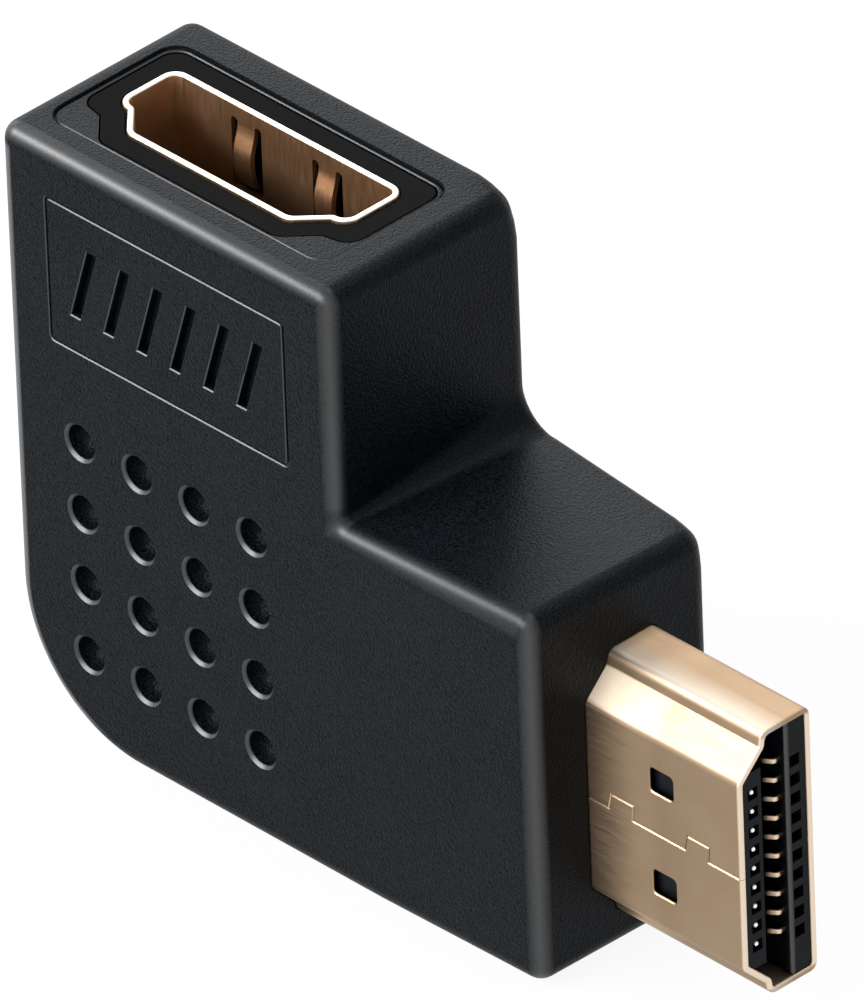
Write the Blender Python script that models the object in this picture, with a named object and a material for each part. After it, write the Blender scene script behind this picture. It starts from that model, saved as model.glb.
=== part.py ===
"""Right angle audio and video adapter.

A moulded elbow with a gold-plated plug on its lower arm and the matching socket in the top
of its upright arm. Both connectors are tails on one small board inside the moulding.

Metres, +Z up. The plug points along +X, the socket opens along +Z, and the dimpled face
looks along -Y. The adapter stands on its lower arm, with the origin under its middle.
"""

import math

import bmesh
import bpy
from mathutils import Matrix, Vector

# Moulded housing
HOUSING_LENGTH = 0.0329
UPRIGHT_DEPTH = 0.0209
HOUSING_HEIGHT = 0.0312
ARM_HEIGHT = 0.0192
HOUSING_THICKNESS = 0.0120
ARM_TAPER = 0.0010
HEEL_RADIUS = 0.0073
HEEL_STEPS = 12
EDGE_RADIUS = 0.0009
EDGE_STEPS = 4
CROOK_RADIUS_FRONT = 0.0003
CROOK_RADIUS_BACK = 0.0018
CROOK_STEPS = 5

# Dimples in the front of the housing, from its back edge and its base
DIMPLE_DIAMETER = 0.0018
DIMPLE_DEPTH = 0.0008
DIMPLE_COLUMNS = 4
DIMPLE_ROWS = 4
DIMPLE_PITCH_X = 0.00363
DIMPLE_PITCH_Z = 0.00376
DIMPLES_FROM_BACK = 0.0045
DIMPLES_FROM_BASE = 0.0049
DIMPLE_SIDES = 14

# Panel above the dimples: a fine frame line round a row of slanted bars
PANEL_WIDTH = 0.0151
PANEL_HEIGHT = 0.0076
PANEL_BELOW_TOP = 0.0064
PANEL_CORNER = 0.0003
PANEL_LINE_WIDTH = 0.00016
PANEL_LINE_DEPTH = 0.00015
BAR_COUNT = 6
BAR_WIDTH = 0.0006
BAR_HEIGHT = 0.0038
BAR_SLANT = 0.0012
BAR_PITCH = 0.0021
BAR_DEPTH = 0.0005

# Connector outline, which plug and socket share: the wide side is at +Y
PLUG_WIDTH = 0.0139
PLUG_THICKNESS = 0.00445
SIDE_HEIGHT = 0.00295
STEP_WIDTH = 0.00069
STEP_DROP = 0.00013
CHAMFER_WIDTH = 0.00135
FOLD_RADIUS = 0.00045
FOLD_STEPS = 3
TIGHTEST_FOLD = 0.00006
WIDEST_FOLD = 0.0009
SHEET = 0.0003
MATING_CLEARANCE = 0.00005
FIT = 0.00004

# Plug, from the end face of the lower arm
PLUG_REACH = 0.0095
PLUG_DEPTH = 0.0070
PLUG_BELOW_MIDDLE = 0.0006
PLUG_FORWARD = 0.0005
PLUG_TIP_ROUND = 0.0001
WINDOW_LENGTH = 0.00145
WINDOW_WIDTH = 0.00125
WINDOW_RADIUS = 0.0002
WINDOW_FROM_TIP = 0.0049
WINDOW_SPREAD = 0.0027

# Keyed seam along the plug's narrow face
SEAM_GAP = 0.00006
SEAM_BELOW_MIDDLE = 0.0001
KEY_HEIGHT = 0.0008
KEY_WIDTH = 0.00148
KEY_LEAN = 0.00022
KEY_STARTS = (0.0012, 0.0059)

# Plug insulator
INSULATOR_RECESS = 0.00025
INSULATOR_SETBACK = 0.0010
SLOT_WIDTH = 0.00135
SLOT_OFFSET = 0.00017
SLOT_DEPTH = 0.0070
NARROW_BAR_MARGIN = 0.00115
LIP_DEPTH = 0.0004

# Contacts
WIDE_CONTACTS = 10
NARROW_CONTACTS = 9
CONTACT_PITCH = 0.0010
CONTACT_WIDTH = 0.00032
CONTACT_THICKNESS = 0.00014
CHANNEL_WIDTH = 0.0006
POCKET_HEIGHT = 0.0006
WIDE_POCKET_OFFSET = 0.00128
NARROW_POCKET_OFFSET = 0.0013
BUMP_HEIGHT = 0.0003
BUMP_FROM_TIP = 0.0019
RAMP_LENGTH = 0.0010
RAMP_HEIGHT = 0.0007
CONTACT_TIP_DEPTH = 0.00055
TAIL_LENGTH = 0.0018

# Circuit board
BOARD_THICKNESS = 0.0010
BOARD_FORWARD = 0.00035
BOARD_INSET = 0.0005
BOARD_CHAMFER = 0.0030
BOARD_POCKET_ROOM = 0.0001
TAIL_CLEARANCE = 0.00017

# Socket, down from the top of the upright arm
SOCKET_DEPTH = 0.0115
SOCKET_BACKWARD = 0.00045
SOCKET_FORWARD = 0.0002
SOCKET_RIM_ROUND = 0.00008
FLOOR_SETBACK = 0.0008
FLOOR_THICKNESS = 0.0014
TONGUE_RECESS = 0.0029
TONGUE_CLEARANCE = 0.0001
TONGUE_MARGIN = 0.0010
GROOVE_DEPTH = 0.00012
GROOVE_END = 0.0004
FINGER_SPREAD = 0.00256
FINGER_WIDTH = 0.0010
FINGER_SLOT = 0.00048
FINGER_TOP = 0.0007
FINGER_LENGTH = 0.0037
FINGER_BUMP = 0.00045
FINGER_SHEET = 0.00024

# Collar round the socket, and the shallow recess that it sits in
COLLAR_WIDTH = 0.0012
COLLAR_RECESS = 0.0003
COLLAR_DEPTH = 0.0030
RECESS_MARGIN = 0.0001
RECESS_DEPTH = 0.00015
RECESS_CORNER = 0.0008

# Cutters run past the surface they open by this much
CUT_PAST = 0.0010

# What follows from the sizes above
PLUG_HEIGHT = ARM_HEIGHT / 2 - PLUG_BELOW_MIDDLE
PLUG_Y = HOUSING_THICKNESS / 2 - PLUG_FORWARD
SOCKET_X = UPRIGHT_DEPTH / 2 - SOCKET_BACKWARD
SOCKET_Y = HOUSING_THICKNESS / 2 - SOCKET_FORWARD
BOARD_Y = HOUSING_THICKNESS / 2 - BOARD_FORWARD
INSULATOR_BACK = -PLUG_DEPTH + INSULATOR_SETBACK
SLOT_END = PLUG_REACH - SLOT_DEPTH
FLOOR_BACK = -SOCKET_DEPTH + FLOOR_SETBACK
FLOOR_FRONT = FLOOR_BACK + FLOOR_THICKNESS

AXES = {
    "X": lambda across, up, along: (along, across, up),
    "Y": lambda across, up, along: (across, along, up),
    "Z": lambda across, up, along: (across, up, along),
}


def clear_scene():
    for item in list(bpy.data.objects):
        bpy.data.objects.remove(item, do_unlink=True)


def make_material(name, colour, roughness, metallic):
    material = bpy.data.materials.new(name)
    material.use_nodes = True
    shader = material.node_tree.nodes["Principled BSDF"]
    shader.inputs["Base Color"].default_value = (*colour, 1.0)
    shader.inputs["Roughness"].default_value = roughness
    shader.inputs["Metallic"].default_value = metallic
    return material


def add_empty(name, location, parent=None, turn_y=0.0):
    empty = bpy.data.objects.new(name, None)
    empty.empty_display_size = 0.004
    empty.location = location
    empty.rotation_euler = (0.0, turn_y, 0.0)
    empty.parent = parent
    bpy.context.scene.collection.objects.link(empty)
    return empty


def add_object(name, shape, parent, material=None, location=(0.0, 0.0, 0.0)):
    """An object from a bmesh, or one that shares a mesh already made."""
    if isinstance(shape, bmesh.types.BMesh):
        mesh = bpy.data.meshes.new(name)
        shape.to_mesh(mesh)
        shape.free()
        if material:
            mesh.materials.append(material)
            mesh.shade_smooth()
            mesh.set_sharp_from_angle(angle=math.radians(35))
    else:
        mesh = shape
    item = bpy.data.objects.new(name, mesh)
    item.parent = parent
    item.location = location
    bpy.context.scene.collection.objects.link(item)
    return item


def cut(target, name, shape, parent, operation="DIFFERENCE"):
    """Cut or join a bmesh with a Boolean, and keep it as a hidden wire object."""
    tool = add_object(name, shape, parent)
    tool.hide_render = True
    tool.display_type = "WIRE"
    boolean = target.modifiers.new(name, "BOOLEAN")
    boolean.operation = operation
    boolean.solver = "EXACT"
    boolean.object = tool


def turn_between(before, corner, after):
    """Unit directions into and out of a corner, and the signed turn between them."""
    into = (corner - before).normalized()
    out = (after - corner).normalized()
    turn = math.atan2(into.x * out.y - into.y * out.x, into.dot(out))
    return into, out, turn


def grow_corners(corners, distance):
    """Move every edge of an anticlockwise outline outwards by a distance."""
    grown = []
    for index, (corner, radius) in enumerate(corners):
        before = corners[index - 1][0]
        after = corners[(index + 1) % len(corners)][0]
        into, out, turn = turn_between(before, corner, after)
        outward = Vector((into.y, -into.x)) + Vector((out.y, -out.x))
        moved = corner + outward * (distance / (1.0 + math.cos(turn)))
        bend = radius + distance * math.copysign(1.0, turn)
        grown.append((moved, min(max(bend, TIGHTEST_FOLD), WIDEST_FOLD) if radius else 0.0))
    return grown


def round_corners(corners, steps):
    """Points of an outline whose corners are arcs, each with its own radius."""
    points = []
    for index, (corner, radius) in enumerate(corners):
        before = corners[index - 1][0]
        after = corners[(index + 1) % len(corners)][0]
        into, out, turn = turn_between(before, corner, after)
        if radius == 0.0:
            points.append(corner)
            continue
        start = corner - into * radius * abs(math.tan(turn / 2))
        centre = start + Vector((-into.y, into.x)) * math.copysign(radius, turn)
        for step in range(steps + 1):
            points.append(centre + Matrix.Rotation(turn * step / steps, 2) @ (start - centre))
    return points


def connector_outline(grow=0.0):
    """The connector's outline, grown outwards from the plug's own outer face."""
    half = PLUG_WIDTH / 2
    top = PLUG_THICKNESS / 2
    shoulder = top - SIDE_HEIGHT
    step = half - STEP_WIDTH
    foot = step - CHAMFER_WIDTH
    right = [(foot, -top), (step, shoulder - STEP_DROP), (half, shoulder), (half, top)]
    left = [(-x, y) for x, y in reversed(right)]
    corners = [(Vector(place), FOLD_RADIUS) for place in right + left]
    return round_corners(grow_corners(corners, grow), FOLD_STEPS)


def box_outline(width, height, centre=(0.0, 0.0), radius=0.0, steps=3):
    middle = Vector(centre)
    signs = ((-1, -1), (1, -1), (1, 1), (-1, 1))
    corners = [(middle + Vector((x * width / 2, y * height / 2)), radius) for x, y in signs]
    return round_corners(corners, steps)


def ribbon_outline(path, width):
    """The outline of a strip of even width that follows a path."""
    path = [Vector(point) for point in path]
    offsets = []
    for index, point in enumerate(path):
        into = (point - path[max(index - 1, 0)]).normalized()
        out = (path[min(index + 1, len(path) - 1)] - point).normalized()
        into = into if into.length else out
        out = out if out.length else into
        across = Vector((-into.y, into.x)) + Vector((-out.y, out.x))
        offsets.append(across * (width / 2 / (1.0 + into.dot(out))))
    left = [point + offset for point, offset in zip(path, offsets)]
    right = [point - offset for point, offset in zip(path, offsets)]
    return right + left[::-1]


def extrude_faces(shape, faces, step):
    grown = bmesh.ops.extrude_face_region(shape, geom=faces)
    moved = [item for item in grown["geom"] if isinstance(item, bmesh.types.BMVert)]
    bmesh.ops.translate(shape, verts=moved, vec=step)
    bmesh.ops.recalc_face_normals(shape, faces=shape.faces)
    return moved


def prism(outlines, low, high, axis="Z"):
    """One outline, or several apart from each other, extruded along an axis."""
    place = AXES[axis]
    shape = bmesh.new()
    faces = []
    for outline in outlines:
        corners = [shape.verts.new(place(a, b, low)) for a, b in outline]
        faces.append(shape.faces.new(corners))
    extrude_faces(shape, faces, Vector(place(0.0, 0.0, high - low)))
    return shape


def tube(outer, inner, low, high, axis="Z"):
    """A wall between two outlines of as many points, extruded along an axis."""
    place = AXES[axis]
    shape = bmesh.new()
    edges = []
    for outline in (outer, inner):
        corners = [shape.verts.new(place(a, b, low)) for a, b in outline]
        edges += [shape.edges.new(pair) for pair in zip(corners, corners[1:] + corners[:1])]
    wall = bmesh.ops.bridge_loops(shape, edges=edges)["faces"]
    extrude_faces(shape, wall, Vector(place(0.0, 0.0, high - low)))
    return shape


def round_end(shape, height, radius):
    """Round the edges that run round a shape at one height."""
    edges = [
        edge
        for edge in shape.edges
        if all(abs(vert.co.z - height) < FIT / 4 for vert in edge.verts)
        and len(edge.link_faces) == 2
        and abs(edge.link_faces[0].normal.z - edge.link_faces[1].normal.z) > 0.5
    ]
    bmesh.ops.bevel(shape, geom=edges, offset=radius, segments=2, profile=0.5,
                    affect="EDGES", material=-1)


def housing_outline(crook_radius):
    """The elbow seen from the front, from its heel round to the top of its back."""
    length, height = HOUSING_LENGTH, HOUSING_HEIGHT
    corners = [
        ((0.0, 0.0), HEEL_RADIUS, HEEL_STEPS),
        ((UPRIGHT_DEPTH + CROOK_RADIUS_BACK, 0.0), 0.0, 1),
        ((length, 0.0), 0.0, 1),
        ((length, ARM_HEIGHT), 0.0, 1),
        ((UPRIGHT_DEPTH, ARM_HEIGHT), crook_radius, CROOK_STEPS),
        ((UPRIGHT_DEPTH, height), 0.0, 1),
        ((0.0, height), 0.0, 1),
    ]
    places = [Vector(place) for place, _, _ in corners]
    points = []
    for index, (_, radius, steps) in enumerate(corners):
        near = [places[index - 1], places[index], places[(index + 1) % len(places)]]
        if radius == 0.0:
            points.append(near[1])
            continue
        into, out, turn = turn_between(*near)
        start = near[1] - into * radius * abs(math.tan(turn / 2))
        centre = start + Vector((-into.y, into.x)) * math.copysign(radius, turn)
        for step in range(steps + 1):
            points.append(centre + Matrix.Rotation(turn * step / steps, 2) @ (start - centre))
    return points


def housing_back(x):
    """How far back the housing reaches, which comes in along the lower arm."""
    start = UPRIGHT_DEPTH + CROOK_RADIUS_BACK
    along = max(0.0, x - start) / (HOUSING_LENGTH - start)
    return HOUSING_THICKNESS - ARM_TAPER * along


def make_elbow():
    front = housing_outline(CROOK_RADIUS_FRONT)
    back = housing_outline(CROOK_RADIUS_BACK)
    shape = bmesh.new()
    face = shape.faces.new([shape.verts.new((x, 0.0, z)) for x, z in front])
    moved = extrude_faces(shape, [face], Vector((0.0, HOUSING_THICKNESS, 0.0)))
    shape.verts.ensure_lookup_table()
    for near, far in zip(front, back):
        vert = min(moved, key=lambda item: (item.co.xz - near).length)
        moved.remove(vert)
        vert.co = (far.x, housing_back(far.x), far.y)
    fold = UPRIGHT_DEPTH + CROOK_RADIUS_BACK
    ends = [
        vert
        for vert in shape.verts
        if vert.co.y > HOUSING_THICKNESS / 2 and abs(vert.co.x - fold) < FIT / 4
    ]
    bmesh.ops.connect_verts(shape, verts=ends)
    bmesh.ops.recalc_face_normals(shape, faces=shape.faces)
    sharp = math.radians(50)
    edges = [edge for edge in shape.edges if edge.calc_face_angle() > sharp]
    bmesh.ops.bevel(shape, geom=edges, offset=EDGE_RADIUS, segments=EDGE_STEPS,
                    profile=0.5, affect="EDGES", material=-1)
    bmesh.ops.recalc_face_normals(shape, faces=shape.faces)
    return shape


def make_dimples():
    """Blind round holes with domed bottoms, turned about their own axes."""
    radius = DIMPLE_DIAMETER / 2
    dome = DIMPLE_DEPTH / 2
    shape = bmesh.new()
    profile = [(0.0, DIMPLE_DEPTH), (radius * 0.6, DIMPLE_DEPTH * 0.88)]
    profile += [(radius, DIMPLE_DEPTH - dome), (radius, -CUT_PAST), (0.0, -CUT_PAST)]
    verts = [shape.verts.new((across, along, 0.0)) for across, along in profile]
    edges = [shape.edges.new(pair) for pair in zip(verts, verts[1:])]
    bmesh.ops.spin(shape, geom=verts + edges, cent=(0, 0, 0), axis=(0, 1, 0),
                   angle=math.tau, steps=DIMPLE_SIDES, use_merge=True)
    bmesh.ops.remove_doubles(shape, verts=shape.verts, dist=SEAM_GAP / 10)
    first = shape.verts[:] + shape.edges[:] + shape.faces[:]
    for column in range(DIMPLE_COLUMNS):
        for row in range(DIMPLE_ROWS):
            copied = bmesh.ops.duplicate(shape, geom=first)["geom"]
            moved = [item for item in copied if isinstance(item, bmesh.types.BMVert)]
            place = (DIMPLES_FROM_BACK + column * DIMPLE_PITCH_X, 0.0,
                     DIMPLES_FROM_BASE + row * DIMPLE_PITCH_Z)
            bmesh.ops.translate(shape, verts=moved, vec=place)
    bmesh.ops.delete(shape, geom=[item for item in first if isinstance(item, bmesh.types.BMVert)])
    bmesh.ops.recalc_face_normals(shape, faces=shape.faces)
    return shape


def make_panel_line():
    centre = (UPRIGHT_DEPTH / 2, HOUSING_HEIGHT - PANEL_BELOW_TOP)
    outer = box_outline(PANEL_WIDTH, PANEL_HEIGHT, centre, PANEL_CORNER)
    inside = 2 * PANEL_LINE_WIDTH
    inner = box_outline(PANEL_WIDTH - inside, PANEL_HEIGHT - inside, centre,
                        PANEL_CORNER - PANEL_LINE_WIDTH)
    return tube(outer, inner, -CUT_PAST, PANEL_LINE_DEPTH, "Y")


def make_bars():
    outlines = []
    middle = HOUSING_HEIGHT - PANEL_BELOW_TOP
    for index in range(BAR_COUNT):
        x = UPRIGHT_DEPTH / 2 + (index - (BAR_COUNT - 1) / 2) * BAR_PITCH
        low, high = middle - BAR_HEIGHT / 2, middle + BAR_HEIGHT / 2
        foot, head = x - BAR_SLANT / 2, x + BAR_SLANT / 2
        half = BAR_WIDTH / 2
        outlines.append([(foot - half, low), (foot + half, low),
                         (head + half, high), (head - half, high)])
    return prism(outlines, -CUT_PAST, BAR_DEPTH, "Y")


def board_outline(grow):
    """An angled board whose ends stop against the backs of the two connectors."""
    half_socket = PLUG_WIDTH / 2 + MATING_CLEARANCE + SHEET - BOARD_INSET
    half_plug = PLUG_WIDTH / 2 - BOARD_INSET
    left, right = SOCKET_X - half_socket, HOUSING_LENGTH - PLUG_DEPTH - FIT
    low, high = PLUG_HEIGHT - half_plug, HOUSING_HEIGHT - SOCKET_DEPTH - FIT
    shoulder, neck = PLUG_HEIGHT + half_plug, SOCKET_X + half_socket
    places = [(left + BOARD_CHAMFER, low), (right, low), (right, shoulder), (neck, shoulder),
              (neck, high), (left, high), (left, low + BOARD_CHAMFER)]
    corners = [(Vector(place), 0.0) for place in places]
    grown = grow_corners(corners, grow)
    return [place for place, _ in grown]


def row_width(count):
    """From the middle of a row's first contact to the middle of its last."""
    return (count - 1) * CONTACT_PITCH


def contact_places(count):
    return [(index - (count - 1) / 2) * CONTACT_PITCH for index in range(count)]


def plug_contact(side, pocket, board_face):
    """A sprung contact: tail, bend, beam, bump into the slot, ramp and tip."""
    tail = board_face + side * (FIT + CONTACT_THICKNESS / 2)
    bump = side * (SLOT_WIDTH / 2 - BUMP_HEIGHT) - SLOT_OFFSET
    ramp = side * RAMP_HEIGHT
    tip = PLUG_REACH - CONTACT_TIP_DEPTH
    path = [
        (tail, -PLUG_DEPTH - FIT - TAIL_LENGTH),
        (tail, -PLUG_DEPTH - FIT),
        (side * pocket, INSULATOR_BACK - FIT),
        (side * pocket, SLOT_END + 2 * CONTACT_THICKNESS),
        (bump + side * CONTACT_THICKNESS, PLUG_REACH - BUMP_FROM_TIP - CONTACT_THICKNESS * 3),
        (bump, PLUG_REACH - BUMP_FROM_TIP),
        (bump + ramp, PLUG_REACH - BUMP_FROM_TIP + RAMP_LENGTH),
        (side * pocket, tip),
    ]
    half = CONTACT_WIDTH / 2
    return prism([ribbon_outline(path, CONTACT_THICKNESS)], -half, half, "X")


def socket_contact(side, board_face):
    """A flat contact that lies in a groove of the tongue, with its tail on the board."""
    tail = board_face + side * (FIT + CONTACT_THICKNESS / 2)
    seat = tongue_face(side) - side * (GROOVE_DEPTH - FIT - CONTACT_THICKNESS / 2)
    path = [
        (tail, -SOCKET_DEPTH - FIT - TAIL_LENGTH),
        (tail, -SOCKET_DEPTH),
        (seat, FLOOR_BACK),
        (seat, -TONGUE_RECESS - GROOVE_END - FIT),
    ]
    half = CONTACT_WIDTH / 2
    return prism([ribbon_outline(path, CONTACT_THICKNESS)], -half, half, "X")


def tongue_face(side):
    return side * (SLOT_WIDTH / 2 - TONGUE_CLEARANCE) - SLOT_OFFSET


def make_housing(parent, plug_seat, socket_seat, material):
    housing = add_object("housing", make_elbow(), parent, material)
    ring = MATING_CLEARANCE + SHEET
    pocket = prism([connector_outline(ring + FIT)], -SOCKET_DEPTH - 2 * FIT, CUT_PAST)
    cut(housing, "socket_pocket", pocket, socket_seat)
    seat = prism([connector_outline(ring + COLLAR_WIDTH + FIT)],
                 -COLLAR_RECESS - COLLAR_DEPTH - FIT, CUT_PAST)
    cut(housing, "collar_pocket", seat, socket_seat)
    margin = ring + COLLAR_WIDTH + RECESS_MARGIN
    recess = box_outline(PLUG_WIDTH + 2 * margin, PLUG_THICKNESS + 2 * margin,
                         radius=RECESS_CORNER)
    cut(housing, "top_recess", prism([recess], -RECESS_DEPTH, CUT_PAST), socket_seat)
    pocket = prism([connector_outline(FIT)], -PLUG_DEPTH - 2 * FIT, CUT_PAST)
    cut(housing, "plug_pocket", pocket, plug_seat)
    room = BOARD_THICKNESS / 2 + FIT + CONTACT_THICKNESS + TAIL_CLEARANCE
    pocket = prism([board_outline(BOARD_POCKET_ROOM)], BOARD_Y - room, BOARD_Y + room, "Y")
    cut(housing, "board_pocket", pocket, parent)
    cut(housing, "dimples", make_dimples(), parent)
    cut(housing, "panel_line", make_panel_line(), parent)
    cut(housing, "panel_bars", make_bars(), parent)
    return housing


def make_plug_shell(seat, material):
    """A sheet folded round into the outline, keyed together on its narrow face."""
    wall = tube(connector_outline(), connector_outline(-SHEET), -PLUG_DEPTH, PLUG_REACH)
    round_end(wall, PLUG_REACH, PLUG_TIP_ROUND)
    shell = add_object("plug_shell", wall, seat, material)
    height = PLUG_REACH - WINDOW_FROM_TIP
    windows = [box_outline(WINDOW_WIDTH, WINDOW_LENGTH, (side * WINDOW_SPREAD, height),
                           WINDOW_RADIUS) for side in (-1, 1)]
    across = PLUG_THICKNESS / 2 + CUT_PAST
    cut(shell, "plug_windows", prism(windows, -across, across, "Y"), seat)
    ground, crest = SEAM_BELOW_MIDDLE, SEAM_BELOW_MIDDLE - KEY_HEIGHT
    path = [(ground, -PLUG_DEPTH - CUT_PAST)]
    for start in KEY_STARTS:
        end = start + KEY_WIDTH
        path += [(ground, start), (crest, start + KEY_LEAN)]
        path += [(crest, end + KEY_LEAN), (ground, end)]
    path.append((ground, PLUG_REACH + CUT_PAST))
    seam = prism([ribbon_outline(path, SEAM_GAP)], -across, 0.0, "Y")
    cut(shell, "plug_seam", seam, seat)
    return shell


def make_plug_insulator(seat, material):
    front = PLUG_REACH - INSULATOR_RECESS
    outline = connector_outline(-SHEET - FIT)
    block = add_object("plug_insulator", prism([outline], INSULATOR_BACK, front), seat, material)
    slot = box_outline(PLUG_WIDTH, SLOT_WIDTH, (0.0, -SLOT_OFFSET))
    cut(block, "plug_slot", prism([slot], SLOT_END, PLUG_REACH), seat)
    bar_width = row_width(NARROW_CONTACTS) + 2 * NARROW_BAR_MARGIN
    side_width = PLUG_WIDTH - bar_width
    side_x = (bar_width + side_width) / 2
    sides = [box_outline(side_width, PLUG_THICKNESS, (x, -PLUG_THICKNESS / 2 - SLOT_OFFSET))
             for x in (-side_x, side_x)]
    cut(block, "plug_bar_ends", prism(sides, SLOT_END + FIT, PLUG_REACH), seat)
    rows = [(1, WIDE_CONTACTS, WIDE_POCKET_OFFSET), (-1, NARROW_CONTACTS, NARROW_POCKET_OFFSET)]
    tunnels = [box_outline(CHANNEL_WIDTH, POCKET_HEIGHT, (x, side * offset))
               for side, count, offset in rows for x in contact_places(count)]
    cut(block, "plug_tunnels", prism(tunnels, INSULATOR_BACK - CUT_PAST, PLUG_REACH), seat)
    channels = []
    for side, count, offset in rows:
        middle = -SLOT_OFFSET
        reach = offset - side * middle
        for x in contact_places(count):
            channels.append(box_outline(CHANNEL_WIDTH + FIT, reach,
                                        (x, middle + side * reach / 2)))
    lip = PLUG_REACH - INSULATOR_RECESS - LIP_DEPTH
    cut(block, "plug_channels", prism(channels, SLOT_END, lip), seat)
    return block


def make_socket_shell(seat, material):
    outer = connector_outline(MATING_CLEARANCE + SHEET)
    wall = tube(outer, connector_outline(MATING_CLEARANCE), -SOCKET_DEPTH, 0.0)
    round_end(wall, 0.0, SOCKET_RIM_ROUND)
    shell = add_object("socket_shell", wall, seat, material)
    middle = -FINGER_TOP - FINGER_LENGTH / 2
    opening = FINGER_WIDTH + 2 * FINGER_SLOT
    windows = [box_outline(opening, FINGER_LENGTH, (side * FINGER_SPREAD, middle))
               for side in (-1, 1)]
    across = PLUG_THICKNESS
    cut(shell, "finger_windows", prism(windows, -across, across, "Y"), seat)
    sheet_y = PLUG_THICKNESS / 2 + MATING_CLEARANCE + SHEET / 2
    half = FINGER_WIDTH / 2
    for wide_or_narrow in (1, -1):
        path = [(0.0, 0.4 * FINGER_TOP), (0.0, -0.05 * FINGER_LENGTH)]
        path += [(-0.15 * FINGER_BUMP, -0.14 * FINGER_LENGTH), (-FINGER_BUMP, -0.42 * FINGER_LENGTH)]
        path += [(-FINGER_BUMP, -0.5 * FINGER_LENGTH), (0.0, -0.9 * FINGER_LENGTH)]
        line = [(wide_or_narrow * (sheet_y + y), z - FINGER_TOP) for y, z in path]
        outline = ribbon_outline(line, FINGER_SHEET)
        for side in (-1, 1):
            x = side * FINGER_SPREAD
            finger = prism([outline], x - half, x + half, "X")
            where = "wide" if wide_or_narrow == 1 else "narrow"
            name = f"{where}_finger_{1 if side == -1 else 2}"
            cut(shell, name, finger, seat, "UNION")
    return shell


def make_socket_insulator(seat, material):
    """A block that closes the socket's bottom, with the tongue standing on it."""
    base = prism([connector_outline(MATING_CLEARANCE - FIT)], FLOOR_BACK, FLOOR_FRONT)
    block = add_object("socket_insulator", base, seat, material)
    thickness = SLOT_WIDTH - 2 * TONGUE_CLEARANCE
    width = row_width(WIDE_CONTACTS) + 2 * TONGUE_MARGIN
    tongue = box_outline(width, thickness, (0.0, -SLOT_OFFSET))
    root = FLOOR_FRONT - FLOOR_THICKNESS / 2
    cut(block, "tongue", prism([tongue], root, -TONGUE_RECESS), seat, "UNION")
    grooves = []
    for side, count in ((1, WIDE_CONTACTS), (-1, NARROW_CONTACTS)):
        middle = tongue_face(side) - side * (GROOVE_DEPTH - CONTACT_THICKNESS) / 2
        height = GROOVE_DEPTH + CONTACT_THICKNESS
        width = CONTACT_WIDTH + 2 * FIT
        grooves += [box_outline(width, height, (x, middle)) for x in contact_places(count)]
    low, high = FLOOR_BACK - CUT_PAST, -TONGUE_RECESS - GROOVE_END
    cut(block, "tongue_grooves", prism(grooves, low, high), seat)
    return block


def make_contacts(name, seat, material, wide, narrow):
    """Nineteen contacts, numbered to and fro between the wide and the narrow row."""
    for first, count, shape in ((1, WIDE_CONTACTS, wide), (2, NARROW_CONTACTS, narrow)):
        mesh = None
        for index, x in enumerate(contact_places(count)):
            number = first + 2 * index
            item = add_object(f"{name}_{number:02d}", mesh or shape, seat, material, (x, 0, 0))
            mesh = item.data


def make_adapter():
    clear_scene()
    black = make_material("moulded_black", (0.022, 0.024, 0.027), 0.55, 0.0)
    collar_black = make_material("collar_black", (0.008, 0.008, 0.009), 0.3, 0.0)
    insulator_black = make_material("insulator_black", (0.012, 0.014, 0.017), 0.4, 0.0)
    gold = make_material("gold_plate", (0.75, 0.50, 0.28), 0.25, 1.0)
    contact_gold = make_material("contact_gold", (0.85, 0.58, 0.30), 0.2, 1.0)
    board_green = make_material("board_green", (0.02, 0.16, 0.06), 0.4, 0.0)

    total = HOUSING_LENGTH + PLUG_REACH
    adapter = add_empty("adapter", (-total / 2, -HOUSING_THICKNESS / 2, 0.0))
    plug_seat = add_empty("plug_seat", (HOUSING_LENGTH, PLUG_Y, PLUG_HEIGHT), adapter,
                          math.pi / 2)
    socket_seat = add_empty("socket_seat", (SOCKET_X, SOCKET_Y, HOUSING_HEIGHT), adapter)

    make_housing(adapter, plug_seat, socket_seat, black)
    ring = MATING_CLEARANCE + SHEET
    collar = tube(connector_outline(ring + COLLAR_WIDTH), connector_outline(ring + FIT),
                  -COLLAR_RECESS - COLLAR_DEPTH, -COLLAR_RECESS)
    add_object("socket_collar", collar, socket_seat, collar_black)
    half = BOARD_THICKNESS / 2
    board = prism([board_outline(0.0)], BOARD_Y - half, BOARD_Y + half, "Y")
    add_object("circuit_board", board, adapter, board_green)

    make_plug_shell(plug_seat, gold)
    make_plug_insulator(plug_seat, insulator_black)
    back, front = BOARD_Y + half - PLUG_Y, BOARD_Y - half - PLUG_Y
    make_contacts("plug_contact", plug_seat, contact_gold,
                  plug_contact(1, WIDE_POCKET_OFFSET, back),
                  plug_contact(-1, NARROW_POCKET_OFFSET, front))

    make_socket_shell(socket_seat, gold)
    make_socket_insulator(socket_seat, insulator_black)
    back, front = BOARD_Y + half - SOCKET_Y, BOARD_Y - half - SOCKET_Y
    make_contacts("socket_contact", socket_seat, contact_gold,
                  socket_contact(1, back), socket_contact(-1, front))


make_adapter()
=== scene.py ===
"""Looks of the right angle audio and video adapter.

A grained black elbow with a gold-plated plug on its lower arm and the matching socket in its
top. Pieces are shaped in millimetres from the elbow's back, front and base, and then set into
the frame's own metres.
"""

import math

import bmesh
import bpy
from mathutils import Matrix, Vector


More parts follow.
